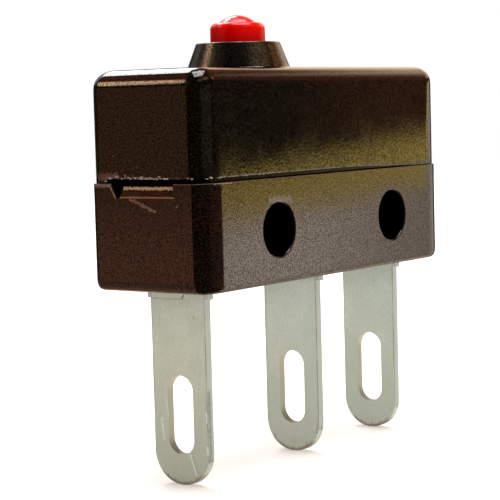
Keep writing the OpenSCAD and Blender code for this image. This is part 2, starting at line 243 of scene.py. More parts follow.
# %% Room
PLAIN_PATCHES = [
    ((0.90, 0.90, 0.90), (41, 80, 6, 20), (22, 44, 8, 8)),
    ((0.50, 0.25, 0.15), (50, 150, 15, 20), (-60, -12, 15, 4)),
    ((0.95, 0.66, 0.45), (-35, 40, 2, 20), (-60, -28, 15, 10)),
    ((0.13, 0.03, 0.01), (-32.5, -20, 2, 5), (-0.8, 8, 1, 6)),
    ((0.15, 0.045, 0.03), (-68, -39, 5, 1), (-9, -2.8, 4, 0.5)),
    ((0.13, 0.125, 0.09), (-95, -62, 6, 6), (-2.2, 2, 0.4, 4)),
    ((0.35, 0.08, 0.03), (95, 128, 10, 6), (36, 52, 4, 6)),
    ((0.30, 0.20, 0.15), (145, 168, 8, 10), (30, 42, 6, 6)),
    ((1.15, 0.74, 0.36), (-105, -62, 14, 6), (31, 41, 6, 6)),
    ((1.65, 1.32, 0.92), (-6, 30, 22, 8), (14, 29, 8, 7)),
    ((0.30, 0.07, 0.04), (-28, 34, 8, 6), (12, 46, 6, 6)),
    ((0.13, 0.09, 0.07), (20, 40, 10, 4), (-4, 14, 4, 6)),
    ((8.00, 5.20, 3.10), (119, 130, 7, 7), (31, 38.5, 5, 5)),
]
table_side = between(heading, -38.2, -12, 0.8, 17)
end_wall = calc(sky, "MULTIPLY", between(heading, 132, 150, 16, 20), between(height, -9, 18, 5, 6))
near_table = rise(under_edge, 1.12, 2.35), rise(height, -40, -25), rise(heading, -35.5, -29.5, 1.0, 0.45)
patches = [
    patch((0.07, 0.05, 0.035), rise(behind, -0.35, 0.4)),
    patch((1.90, 1.38, 0.34), table_side, between(under_edge, 0.35, 1.0, 0.45, 1.4)),
    patch((2.55, 2.15, 1.85), table_side, *near_table),
    patch((0.40, 0.19, 0.084), end_wall),
    patch((0.41, 0.145, 0.115), end_wall, rise(height, -2.0, -5.5)),
]
for colour, headings, heights in PLAIN_PATCHES:
    patches.append(patch(colour, between(heading, *headings), between(height, *heights)))

room = patches[0]
for other in patches[1:]:
    room = out_of(sky, "ShaderNodeVectorMath", {0: room, 1: other}, operation="ADD")
lit = out_of(sky, "ShaderNodeBackground", {"Color": room, "Strength": 1.0})
seen = out_of(sky, "ShaderNodeBackground", {"Color": (1, 1, 1, 1), "Strength": 1.0})
ray = out_of(sky, "ShaderNodeLightPath", output="Is Camera Ray")
both = out_of(sky, "ShaderNodeMixShader", {0: ray, 1: lit, 2: seen})
add_node(sky, "ShaderNodeOutputWorld", {"Surface": both})
bpy.context.scene.view_settings.view_transform = "Standard"
print("the room has %d lit patches" % len(patches))

# %% [markdown]
# Soft boxes do the rest, as in a studio: a window that gives the white streaks on the top edges, a ceiling,
# an amber strip, and a fill that reaches the blades under the case. Area lights are used because they have
# a size and so a soft shadow. Their strength is given as how bright they look, whatever their size.

# %% Lights
SWITCH_MIDDLE = Vector((0, 0, 2))
LIGHT_DISTANCE = 350


def softbox(name, heading, height, size, radiance, tint=(1, 1, 1), mirrored=True, slant=0.0):
    """A soft light that faces the switch from a direction in degrees. Radiance is how bright it looks."""
    light = bpy.data.lights.new(name, "AREA")
    light.shape = "RECTANGLE"
    light.size, light.size_y = (s * MM for s in size)
    light.energy = radiance * math.pi * light.size * light.size_y
    light.color = tint
    lamp = bpy.data.objects.new(name, light)
    out, up = math.radians(heading), math.radians(height)
    towards = Vector((math.cos(up) * math.cos(out), math.cos(up) * math.sin(out), math.sin(up)))
    place = towards * LIGHT_DISTANCE
    facing = (-place).to_track_quat("-Z", "Y") @ Quaternion((0, 0, 1), math.radians(slant))
    lamp.matrix_world = Matrix.Translation((place + SWITCH_MIDDLE) * MM) @ facing.to_matrix().to_4x4()
    lamp.visible_camera = False
    lamp.visible_glossy = mirrored
    bpy.context.scene.collection.objects.link(lamp)


softbox("window", 57, 44, (210, 95), 8.5, slant=38)
softbox("ceiling", -38, 80, (300, 220), 7.0)
softbox("amber_strip", -40, 28, (75, 70), 1.95, (1, 0.39, 0.08))
softbox("front_fill", -126, 12, (200, 130), 4.1, mirrored=False)
print("floor, world and lights are set")

# %% [markdown]
# ## Mesh helpers
#
# Three ways of making a form are enough for this part. A lap is a rounded rectangle round the case with a
# fixed number of points, so that any lap can be joined to the next by a strip of quads. A turned form comes
# from a half outline that is swept round an axis. A prism is an outline with thickness.

# %% Outlines
SIDE_STEPS, END_STEPS, CORNER_STEPS = 120, 46, 14


def lap(half_l, half_w, on_end, on_side):
    """One lap of a rounded rectangle round the case, always with the same number of points.

    A corner takes on_end off the end wall and on_side off the side wall.
    """
    points = []
    for quarter in range(4):
        if quarter % 2:
            along, out, steps, reach, depth = half_l, half_w, SIDE_STEPS, on_side, on_end
        else:
            along, out, steps, reach, depth = half_w, half_l, END_STEPS, on_end, on_side
        run = along - reach
        local = [(out, run * (2 * i / steps - 1)) for i in range(steps)]
        for i in range(CORNER_STEPS):
            angle = math.pi / 2 * i / CORNER_STEPS
            local.append((out - depth + depth * math.cos(angle), run + reach * math.sin(angle)))
        c, s = ((1, 0), (0, 1), (-1, 0), (0, -1))[quarter]
        points += [(CASE_X + x * c - y * s, x * s + y * c) for x, y in local]
    return points


def wall_lap(half_l, half_w, corner, inset=0.0):
    """A lap of a wall whose corners are (on_end, on_side), moved inwards with them."""
    return lap(half_l - inset, half_w - inset, corner[0] - inset, corner[1] - inset)


def rounded(corners, steps=6):
    """An outline whose corners, given as (x, y, radius), are replaced by arcs."""
    points = []
    for i, (x, y, radius) in enumerate(corners):
        here = Vector((x, y))
        if radius == 0:
            points.append(here)
            continue
        back = (Vector(corners[i - 1][:2]) - here).normalized()
        ahead = (Vector(corners[(i + 1) % len(corners)][:2]) - here).normalized()
        half = back.angle(ahead) / 2
        centre = here + (back + ahead).normalized() * radius / math.sin(half)
        start = here + back * radius / math.tan(half) - centre
        end = here + ahead * radius / math.tan(half) - centre
        sweep = start.angle_signed(end)
        for k in range(steps + 1):
            points.append(centre + Matrix.Rotation(-sweep * k / steps, 2) @ start)
    return points


# %% Strips, turned forms and prisms
def ring(bm, points, z):
    """Vertices for one lap. The height is a number or a rule of x and y."""
    return [bm.verts.new((x, y, z(x, y) if callable(z) else z)) for x, y in points]


def strips(bm, rings):
    """Quads between each ring and the next."""
    for lower, upper in zip(rings, rings[1:]):
        for i in range(len(lower)):
            j = (i + 1) % len(lower)
            bm.faces.new((lower[i], lower[j], upper[j], upper[i]))


def fill_between(bm, *rings):
    """A flat face between an outer ring and the rings inside it."""
    edges = []
    for loop in rings:
        for a, b in zip(loop, loop[1:] + loop[:1]):
            edges.append(bm.edges.get((a, b)) or bm.edges.new((a, b)))
    bmesh.ops.triangle_fill(bm, use_beauty=True, use_dissolve=False, edges=edges)


def circle_points(x, radius, steps):
    """Points of a level circle about an upright axis at x."""
    angles = [2 * math.pi * i / steps for i in range(steps)]
    return [(x + radius * math.cos(a), radius * math.sin(a)) for a in angles]


def turned(bm, profile, x, steps):
    """A closed form turned about an upright axis at x, from a half outline of (radius, z), pole to pole."""
    rings = [ring(bm, circle_points(x, radius, steps), z) for radius, z in profile[1:-1]]
    strips(bm, rings)
    for pole_z, loop in ((profile[0][1], rings[0]), (profile[-1][1], rings[-1])):
        pole = bm.verts.new((x, 0, pole_z))
        for a, b in zip(loop, loop[1:] + loop[:1]):
            bm.faces.new((pole, a, b))


def prism(bm, outline, place, depth):
    """An outline with thickness. place(u, v, t) gives the point of an outline point (u, v) at depth t."""
    near, far = ([bm.verts.new(place(u, v, t)) for u, v in outline] for t in depth)
    strips(bm, [near, far])
    bm.faces.new(near)
    bm.faces.new(far)


def across_x(u, v, t):
    """Places an outline drawn in Y and Z at a distance along X."""
    return t, u, v


def across_y(u, v, t):
    """Places an outline drawn in X and Z at a distance along Y."""
    return u, t, v


# %% [markdown]
# A finished mesh needs outward normals, smooth shading that stops at real edges, and its place in the mesh.
# Weighted normals keep the big flat walls flat beside their narrow roundings.

# %% Finishing a mesh
SMOOTH_ANGLE = math.radians(40)


def drawn_object(name, bm):
    """An object from a drawn mesh, still in millimetres, with outward normals."""
    bmesh.ops.recalc_face_normals(bm, faces=bm.faces)
    mesh = bpy.data.meshes.new(name)
    bm.to_mesh(mesh)
    bm.free()
    made = bpy.data.objects.new(name, mesh)
    bpy.context.scene.collection.objects.link(made)
    return made


def settled(made):
    """Turns what the modifiers give into the object's plain mesh."""
    bpy.context.view_layer.update()
    seen_by = bpy.context.evaluated_depsgraph_get()
    mesh = bpy.data.meshes.new_from_object(
        made.evaluated_get(seen_by), preserve_all_data_layers=True, depsgraph=seen_by
    )
    made.modifiers.clear()
    made.data = mesh
    return made


def with_painted_shade(made, inside):
    """Marks the faces whose middle, in mm, lies in a hollow, for the moulding finish to paint shade on."""
    mark = made.data.attributes.new("hollow", "FLOAT", "FACE")
    mark.data.foreach_set("value", [float(inside(face.center)) for face in made.data.polygons])
    return made


def finished(made, material, body, slot, *nodes):
    """Smooths and scales a drawn piece, paints it and hands it to its body."""
    made.data.shade_smooth()
    made.data.set_sharp_from_angle(angle=SMOOTH_ANGLE)
    made.modifiers.new("flat walls", "WEIGHTED_NORMAL").keep_sharp = True
    settled(made)
    made.data.transform(Matrix.Scale(MM, 4))
    made.data.materials.clear()
    made.data.materials.append(material)
    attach(made, body)
    if nodes:
        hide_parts(*nodes)
    print("%s: %d triangles" % (made.name, sum(len(p.vertices) - 2 for p in made.data.polygons)))


# %% [markdown]
# ## Finishes
#
# Each finish is a node material on Object coordinates in millimetres, so a pattern sits on the piece at its
# real size. Every finish could be wired by itself, but they share a few steps: noise of a given grain, a
# stroke between two places, a blend of two colours. A small class keeps those with the tree they belong to.

# %% Finish helper
NOISE_SPAN = (0.3, 0.7)
STROKE_CORE = 0.4


class Finish:
    """A node material in the making."""

    def __init__(self, name):
        self.material = bpy.data.materials.new(name)
        self.material.use_nodes = True
        self.tree = self.material.node_tree
        self.shader = self.tree.nodes["Principled BSDF"]
        self.mm = scaled(self.tree, self.add("ShaderNodeTexCoord", output="Object"), 1 / MM)
        self.ragged = self.grain(0.12)

    def add(self, kind, inputs=None, output=0, **options):
        """One output of a new node."""
        return out_of(self.tree, kind, inputs, output, **options)

    def calc(self, operation, first, second=0.0):
        """Plain arithmetic on sockets and constants."""
        return calc(self.tree, operation, first, second)

    def vector(self, operation, first, second, output=0):
        """Vector arithmetic on sockets and constants."""
        return self.add("ShaderNodeVectorMath", {0: first, 1: second}, output, operation=operation)

    def band(self, value, *span):
        """A soft step of a value, either way round."""
        return soft_step(self.tree, value, *span)

    def parts(self):
        """The place in mm, as X, Y and Z."""
        return add_node(self.tree, "ShaderNodeSeparateXYZ", {0: self.mm}).outputs

    def grain(self, size, detail=3.0, stretch=(1, 1, 1), output="Fac"):
        """Noise with features of a size in mm, from 0 to 1."""
        where = self.vector("MULTIPLY", self.mm, stretch)
        return self.add("ShaderNodeTexNoise", {"Vector": where, "Scale": 1 / size, "Detail": detail}, output)

    def cloud(self, size, low=0.0, high=1.0):
        """Soft clouds of a size in mm, between two values."""
        return self.band(self.grain(size), *NOISE_SPAN, low, high)

    def roughened(self, distance, amount):
        """A distance that wavers by an amount in mm."""
        waver = self.calc("MULTIPLY", self.calc("SUBTRACT", self.ragged, 0.5), amount)
        return self.calc("ADD", distance, waver)

    def stroke(self, start, end, width, ragged):
        """1 along a line between two places in mm and 0 past its width, with an edge as ragged as asked."""
        run = Vector(end) - Vector(start)
        away = self.vector("SUBTRACT", self.mm, start)
        share = self.vector("DOT_PRODUCT", away, run / max(run.length_squared, 1e-9), "Value")
        nearest = scaled(self.tree, run, self.add("ShaderNodeClamp", {"Value": share}))
        off = self.vector("DISTANCE", away, nearest, "Value")
        return self.band(self.roughened(off, ragged), width, STROKE_CORE * width)

    def blend(self, share, first, second):
        """A colour between two others."""
        first, second = (c if isinstance(c, bpy.types.NodeSocket) else (*c, 1) for c in (first, second))
        return self.add("ShaderNodeMix", {0: share, 6: first, 7: second}, 2, data_type="RGBA")

    def marked(self, colour, marks):
        """Lays marks on a colour. Gives the new colour and the share of each mark."""
        shares = []
        for start, end, width, ragged, strength, tone in marks:
            shares.append(self.calc("MULTIPLY", self.stroke(start, end, width, ragged), strength))
            colour = self.blend(shares[-1], colour, tone)
        return colour, shares

    def skin(self, relief, depth):
        """A normal that follows a relief of a depth in mm."""
        return self.add("ShaderNodeBump", {"Strength": 1.0, "Distance": depth * MM, "Height": relief})

    def set(self, **values):
        """Feeds the shader. Names use _ for a space."""
        for name, value in values.items():
            feed(self.tree, self.shader.inputs[name.replace("_", " ")], value)


# %% [markdown]
# The case is a brown moulding compound, nearly black and glossy, with pale marks where its edges are worn.
# Three strokes in the notch are painted highlights instead: the lit edge of the ledge, the foot of the bevel
# and the edge of the slit. The marks could be painted on an image, but strokes between two places in
# millimetres stay sharp at any distance and need no unwrapping. Each row has two places, a width, a
# raggedness, a strength and a colour.

# %% Worn marks and painted highlights
END_X, FRONT_Y = base_low.x, base_low.y
BEVEL_X = END_X + 0.22
# Tan colours both worn edges and a painted highlight.
PINK, TAN_WEAR_AND_HIGHLIGHT, GREY = (0.26, 0.15, 0.13), (0.62, 0.43, 0.27), (0.26, 0.23, 0.20)
# These two colour painted highlights only.
BEVEL_FOOT_HIGHLIGHT, SLIT_EDGE_HIGHLIGHT = (0.24, 0.11, 0.04), (0.20, 0.16, 0.07)


def at_x(x, *rows):
    """Marks on a face across X, whose places are given as (y, z)."""
    return [((x, *start), (x, *end), *rest) for start, end, *rest in rows]


def at_y(y, *rows):
    """Marks on a face across Y, whose places are given as (x, z)."""
    return [((start[0], y, start[1]), (end[0], y, end[1]), *rest) for start, end, *rest in rows]


COVER_MARKS = at_x(
    END_X,
    ((2.9, 2.56), (1.5, 2.60), 0.22, 0.35, 0.25, PINK),
    ((1.6, 2.52), (-1.9, 2.50), 0.06, 0.25, 0.35, PINK),
    ((1.70, 3.47), (1.50, 3.50), 0.06, 0.15, 0.5, PINK),
    ((0.32, 3.00), (0.28, 2.94), 0.07, 0.15, 0.5, PINK),
    ((-1.60, 2.90), (-1.58, 2.76), 0.06, 0.10, 0.6, PINK),
)
COVER_MARKS += at_y(FRONT_Y, ((-9.45, 2.50), (-6.0, 2.50), 0.05, 0.25, 0.6, GREY))
# Painted highlight: the lit edge of the ledge, laid on the top of the bevel.
BASE_MARKS = at_x(BEVEL_X, ((1.42, 2.10), (-1.62, 2.11), 0.11, 0.2, 0.85, TAN_WEAR_AND_HIGHLIGHT))
BASE_MARKS += at_x(
    END_X,
    # Painted highlight along the foot of the bevel.
    ((1.30, 1.70), (-1.65, 1.71), 0.05, 0.05, 0.7, BEVEL_FOOT_HIGHLIGHT),
    ((0.68, 1.61), (-0.62, 1.11), 0.09, 0.26, 0.38, PINK),
    ((-1.84, 1.35), (-1.82, 1.32), 0.05, 0.10, 0.5, PINK),
    ((3.1, 2.25), (1.85, 2.25), 0.17, 0.15, 0.45, PINK),
    # Painted highlight beside the sloping edge of the slit.
    ((1.86, 2.24), (1.52, 1.68), 0.05, 0.06, 0.7, SLIT_EDGE_HIGHLIGHT),
)
BASE_MARKS += at_y(
    FRONT_Y,
    ((-5.4, 1.32), (-3.9, 1.28), 0.20, 0.60, 0.32, GREY),
    ((-9.5, 2.25), (-8.2, 2.25), 0.05, 0.14, 0.4, TAN_WEAR_AND_HIGHLIGHT),
)
print("worn marks: %d on the cover, %d on the base" % (len(COVER_MARKS), len(BASE_MARKS)))

# %% [markdown]
# The compound has a fine coloured speckle, and flecks that break up its gloss. A plain brown would look
# like paint. So noise at the size of the real grain drives the colour, and a second noise the flecks. The
# boss is a little duller than the rest, and the joint edge of the base is worn tan. Faces in the seam, the
# cavity, the notch, the slit and the holes get painted shade, nearly black.

# %% Moulding finish
MOULDING_IOR = 1.62
SPECKLE, SPECKLE_GAIN, SPECKLE_HUE, SPECKLE_LOWEST = 0.07, 7.5, 0.35, 0.1
FLECK_SPAN = (0.45, 0.58, 0.0, 0.76)
GLOSS_CLOUD, GLOSS_SWING = 1.8, 0.02
BOSS_LEVEL, BOSS_RISE, BOSS_DULL = 7.17, 0.15, 0.2
EDGE_TAN, EDGE_FOOT, EDGE_HEAD = (0.085, 0.060, 0.045), 0.035, 0.018
EDGE_GRAIN, EDGE_SPAN = 0.5, (0.35, 0.65, 0.75, 1.0)
# The first tone is the painted shade of hollows, nearly black.
PAINTED_SHADE_TONE, MARK_DULL, SKIN_DEPTH = (0.0008, 0.0006, 0.0005), 0.5, 0.0012


def moulding(name, tone, roughness, fleck_size, marks, worn_level=None):
    """Brown moulding compound: coloured speckle, dull gloss flecks, wear, painted highlights, painted shade.
    """
    made = Finish(name)
    height = made.parts()[2]
    speckle = made.blend(SPECKLE_HUE, made.grain(SPECKLE, 1.0), made.grain(SPECKLE, 1.0, output="Color"))
    lowered = made.vector("SUBTRACT", speckle, [0.5 - 1 / SPECKLE_GAIN] * 3)
    colour = made.vector("MULTIPLY", lowered, [SPECKLE_GAIN * t for t in tone])
    colour = made.vector("MAXIMUM", colour, [SPECKLE_LOWEST * t for t in tone])
    colour, shares = made.marked(colour, marks)
    if worn_level:
        edge = made.band(height, worn_level - EDGE_FOOT, worn_level - EDGE_HEAD)
        shares.append(made.calc("MULTIPLY", edge, made.band(made.grain(EDGE_GRAIN, 2.0), *EDGE_SPAN)))
        colour = made.blend(shares[-1], colour, EDGE_TAN)
    # Wear and painted highlights alike make the surface duller and take away its flecks.
    wear_and_highlight = shares[0]
    for share in shares[1:]:
        wear_and_highlight = made.calc("MAXIMUM", share, wear_and_highlight)
    # Marked faces get painted shade: a nearly black colour that is fully metallic, so they mirror almost
    # nothing.
    hollow = made.add("ShaderNodeAttribute", output="Fac", attribute_name="hollow")
    colour = made.blend(hollow, colour, PAINTED_SHADE_TONE)
    fleck = made.calc("SUBTRACT", made.band(made.grain(fleck_size, 1.0), *FLECK_SPAN), wear_and_highlight)
    gloss = made.cloud(GLOSS_CLOUD, roughness - GLOSS_SWING, roughness + GLOSS_SWING)
    gloss = made.calc("ADD", gloss, made.band(height, BOSS_LEVEL, BOSS_LEVEL + BOSS_RISE, 0.0, BOSS_DULL))
    gloss = made.calc("ADD", gloss, made.calc("MULTIPLY", wear_and_highlight, MARK_DULL))
    made.set(Base_Color=colour, Roughness=gloss, Metallic=made.calc("MAXIMUM", fleck, hollow))
    made.set(Normal=made.skin(made.ragged, SKIN_DEPTH), IOR=MOULDING_IOR)
    return made.material


cover_finish = moulding("cover_brown", (0.0056, 0.0038, 0.0021), 0.06, 0.072, COVER_MARKS)
base_finish = moulding("base_brown", (0.0080, 0.0046, 0.0032), 0.055, 0.065, BASE_MARKS, JOINT_Z)
print("moulding finishes:", cover_finish.name, base_finish.name)

# %% [markdown]
# The button is a glossy red thermoplastic. Plain red paint would look too hard, because on the real one
# light goes a little way in and comes out again beside the edges. Subsurface scattering gives that.

# %% Button finish
RED, DEEP_RED = (0.88, 0.003, 0.003), (0.76, 0.002, 0.003)
RED_CLOUD, GLOW_DEPTH = 0.5, 0.5


def button_red(name):
    """Glossy red thermoplastic that lets a little light through its edges."""
    made = Finish(name)
    tone = made.blend(made.cloud(RED_CLOUD), RED, DEEP_RED)
    gloss = made.band(made.ragged, *NOISE_SPAN, 0.16, 0.24)
    made.set(Base_Color=tone, Roughness=gloss, Subsurface_Weight=0.5, Subsurface_Scale=GLOW_DEPTH * MM)
    made.set(Subsurface_Radius=(1.0, 0.08, 0.05), IOR=1.5, Specular_IOR_Level=0.3)
    return made.material


red_finish = button_red("button_red")
print("button finish:", red_finish.name)

# %% [markdown]
# The blades are punched from sheet with a matte tin plate. It is scratched and smeared from handling, and
# stained near the case. An image could hold that too, but the marks are few, so they are strokes again, on
# the faces of the near and the middle blade.

# %% Tin marks
SCRATCH, STAIN, SMEAR = (0.72, 0.85, 0.85), (0.20, 0.13, 0.08), (0.20, 0.21, 0.19)
COMMON_FACE, OPEN_FACE = box_mm("common_terminal")[0].x, box_mm("normally_open_terminal")[0].x
COMMON_SIDE = COMMON_FACE + 0.12
TIN_MARKS = at_x(
    COMMON_FACE,
    ((1.09, -8.19), (0.96, -9.16), 0.045, 0.05, 0.9, SCRATCH),
    ((0.78, -7.30), (0.70, -8.10), 0.030, 0.04, 0.7, SCRATCH),
    ((-1.42, -7.80), (-1.43, -8.20), 0.060, 0.06, 0.9, SCRATCH),
    ((-1.43, -9.30), (-1.44, -9.60), 0.070, 0.06, 0.9, SCRATCH),
    ((-0.47, -9.70), (-0.77, -10.56), 0.060, 0.03, 0.9, SCRATCH),
    ((-0.56, -9.75), (-0.84, -10.50), 0.025, 0.02, 0.6, SMEAR),
    ((-0.26, -2.80), (-0.34, -2.70), 0.060, 0.05, 0.9, STAIN),
    ((-0.87, -3.58), (-0.87, -3.68), 0.035, 0.02, 0.6, STAIN),
)
TIN_MARKS += at_x(COMMON_SIDE, ((-1.5, -6.9), (-1.5, -10.0), 0.120, 0.30, 0.65, SMEAR))
TIN_MARKS += at_x(COMMON_FACE, ((1.66, -2.86), (-0.40, -2.86), 0.030, 0.03, 0.4, STAIN))
TIN_MARKS += at_x(
    OPEN_FACE,
    ((1.09, -10.40), (1.04, -10.84), 0.050, 0.06, 0.6, SMEAR),
    ((-0.72, -10.62), (-0.82, -11.00), 0.050, 0.06, 0.6, SMEAR),
    ((-1.42, -9.70), (-1.34, -10.15), 0.050, 0.06, 0.6, SMEAR),
)
print("%d marks on the tin" % len(TIN_MARKS))

# %% [markdown]
# Tin isn't the same all over a blade. The punched sides have a tone of their own with a dark line along
# them, the slot's walls are tan and darker at its foot, the rim of the tip is stained, and the tin grows
# darker towards the tip. Each of these could be a material of its own, but soft zones in one material have
# no hard borders.

# %% Tin finish
BLADE_SIDE, UNDER_SOFT = 1.49, 0.2
SIDE_TONE, TIP_END_TONE = (0.555, 0.615, 0.565), (0.40, 0.49, 0.44)
SLOT_LEVELS, SLOT_WALL = (-9.06, -6.94), 0.70
SLOT_TAN, SLOT_BROWN = (0.58, 0.53, 0.38), (0.16, 0.11, 0.05)
TIP_CENTRE, TIP_RAGGED = (0, 0, -9.6), 0.3
TIN_CLOUD, TIN_METALLIC, TIN_SKIN = 1.2, 0.25, 0.002


def tin_zones(made, streak):
    """The zones of a blade that differ from its face, as shares and tones, in the order they are laid."""
    place = made.parts()
    across = made.calc("ABSOLUTE", place[1])
    below = made.band(place[2], UNDER_Z, UNDER_Z - UNDER_SOFT)
    side = made.calc("MULTIPLY", made.band(across, BLADE_SIDE - 0.02, BLADE_SIDE), below)
    inner, outer = (BLADE_SIDE - 0.06, BLADE_SIDE - 0.03), (BLADE_SIDE + 0.01, BLADE_SIDE - 0.02)
    line = made.calc("MULTIPLY", made.band(across, *inner), made.band(across, *outer))
    line = made.calc("MULTIPLY", line, made.band(streak, 0.35, 0.6, 0.2, 0.8))
    flat = made.vector("MULTIPLY", made.mm, (0, 1, 1))
    low, high = SLOT_LEVELS
    level = made.add("ShaderNodeClamp", {"Value": place[2], "Min": low, "Max": high})
    core = made.add("ShaderNodeCombineXYZ", {2: level})
    wall = made.band(made.vector("DISTANCE", flat, core, "Value"), SLOT_WALL + 0.01, SLOT_WALL - 0.005)
    foot = made.calc("MULTIPLY", wall, made.band(place[2], -8.9, -9.6, 0.0, 0.8))
    rim = made.roughened(made.vector("DISTANCE", flat, TIP_CENTRE, "Value"), TIP_RAGGED)
    tip = made.calc("MULTIPLY", made.band(rim, 1.31, 1.43), made.band(place[2], -10.4, -10.8, 0.0, 0.95))
    # Darker towards the tip.
    toward_tip = made.band(place[2], -4.5, -9.5, 0.0, 0.43)
    return (
        (side, SIDE_TONE), (made.calc("MULTIPLY", line, below), STAIN), (wall, SLOT_TAN), (foot, SLOT_BROWN),
        (tip, STAIN), (toward_tip, TIP_END_TONE),
    )


def tinned(name, pale, dull):
    """Matte tin plating with grain along the blade, its zones and its marks."""
    made = Finish(name)
    streak = made.grain(0.14, stretch=(1, 1, 0.12))
    colour = made.blend(made.cloud(TIN_CLOUD), pale, dull)
    colour = made.blend(made.band(made.ragged, 0.35, 0.7, 0.0, 0.22), colour, [0.6 * c for c in dull])
    for share, tone in tin_zones(made, streak):
        colour = made.blend(share, colour, tone)
    colour = made.marked(colour, TIN_MARKS)[0]
    gloss = made.band(streak, *NOISE_SPAN, 0.46, 0.58)
    made.set(Base_Color=colour, Roughness=gloss, Metallic=TIN_METALLIC, Normal=made.skin(streak, TIN_SKIN))
    return made.material


common_tin = tinned("common_tin", (0.645, 0.735, 0.62), (0.585, 0.675, 0.57))
other_tin = tinned("other_tin", (0.70, 0.825, 0.745), (0.64, 0.765, 0.69))
print("tin finishes:", common_tin.name, other_tin.name)

# %% [markdown]
# Inside are a copper alloy spring, a nickel plated rivet and silver contacts. They are bright metal, so one
# rule with a fine grain along the part serves all three, and only tone and roughness change.


# %% Inner finishes
def plated(name, pale, dull, roughness):
    """Bright metal with a fine grain along the part."""
    made = Finish(name)
    streak = made.grain(0.12, stretch=(0.12, 1, 1))
    gloss = made.band(streak, *NOISE_SPAN, roughness - 0.05, roughness + 0.06)
    made.set(Base_Color=made.blend(made.cloud(1.5), pale, dull), Roughness=gloss, Metallic=1.0)
    return made.material


spring_finish = plated("spring_copper", (0.78, 0.50, 0.28), (0.66, 0.40, 0.22), 0.3)
rivet_finish = plated("rivet_nickel", (0.72, 0.70, 0.66), (0.62, 0.60, 0.56), 0.35)
silver_finish = plated("contact_silver", (0.90, 0.89, 0.86), (0.78, 0.77, 0.75), 0.25)
print("inner finishes:", spring_finish.name, rivet_finish.name, silver_finish.name)

# %% [markdown]
# ## Cover
#
# The upper half of the case is a moulded cap: rounded upright corners, wide roundings over its ends,
# narrower ones along its sides, and a tapered boss that guides the button. It could be a bevelled box with
# cuts, but laps give every rounding its own radius and let the lower edge run ragged beside the open seam.

# %% Cover sizes
COVER_CORNER, INNER_CORNER, TOP_CORNER = (0.75, 1.2), 0.3, 0.5
COVER_WALL = 0.9
END_ROUND, SIDE_ROUND = 1.0, 0.75
COVER_TOP_Z, ROOF_Z = 7.15, 6.2
SEAM_H, SEAM_DEPTH = 0.2, 0.45
SEAM_FULL_X, SEAM_END_X = 1.4, 8.0
SEAM_BACK_Y, SEAM_BACK_SOFT = 2.05, 0.1
HAIRLINE = 0.03
RAGGED, RAGGED_END = 0.010, 0.028
cover_half_l = (cover_high.x - cover_low.x) / 2
cover_half_w = (cover_high.y - cover_low.y) / 2
print("cover is %.2f by %.2f mm" % (2 * cover_half_l, 2 * cover_half_w))


def smooth_step(value, low, high):
    """0 below low, 1 above high, and a smooth rise between."""
    t = min(max((value - low) / (high - low), 0), 1)
    return t * t * (3 - 2 * t)


def seam_edge(x, y):
    """Height of the cover's lower edge: the open seam, closing towards the far end and the back."""
    closing = min(max((SEAM_END_X - x) / (SEAM_END_X - SEAM_FULL_X), 0), 1)
    at_back = smooth_step(y, SEAM_BACK_Y - SEAM_BACK_SOFT, SEAM_BACK_Y + SEAM_BACK_SOFT)
    return JOINT_Z + max(SEAM_H * closing * (1 - at_back), HAIRLINE)


def ragged(x, y):
    """How far the lower edge is broken up at a place, strongest on the plunger end."""
    at_end = smooth_step(-x, 9.6, 10.1)
    fine = noise.noise(Vector((x * 7, y * 7, 3.1))) + 0.6 * noise.noise(Vector((x * 19, y * 19, 8.7)))
    return (RAGGED + RAGGED_END * at_end) * fine


# %% Cover body
EDGE_BREAK = 0.025
ROUND_STEPS, WALL_LAPS, BOSS_STEPS = 14, 6, 96
plunger_low, plunger_high = box_mm("plunger")
PLUNGER_X = (plunger_low.x + plunger_high.x) / 2
BORE_R, BORE_LIP = 1.295, 0.05
BOSS_FOOT_R, BOSS_FILLET = 2.35, 0.08
BOSS_RIM_R, BOSS_RIM_ROUND = 1.9, 0.08


def broken_edge(half_l, half_w, corner):
    """Laps round a broken edge, from the flat to the wall, each with its distance from the flat's level."""
    for angle in (0, 30, 60, 90):
        a = math.radians(angle)
        yield wall_lap(half_l, half_w, corner, EDGE_BREAK * (1 - math.sin(a))), EDGE_BREAK * (1 - math.cos(a))


def round_in(radius, level):
    """How far a rounding stands in at a distance from its flat."""
    return radius - math.sqrt(max(radius**2 - max(radius - level, 0) ** 2, 0))


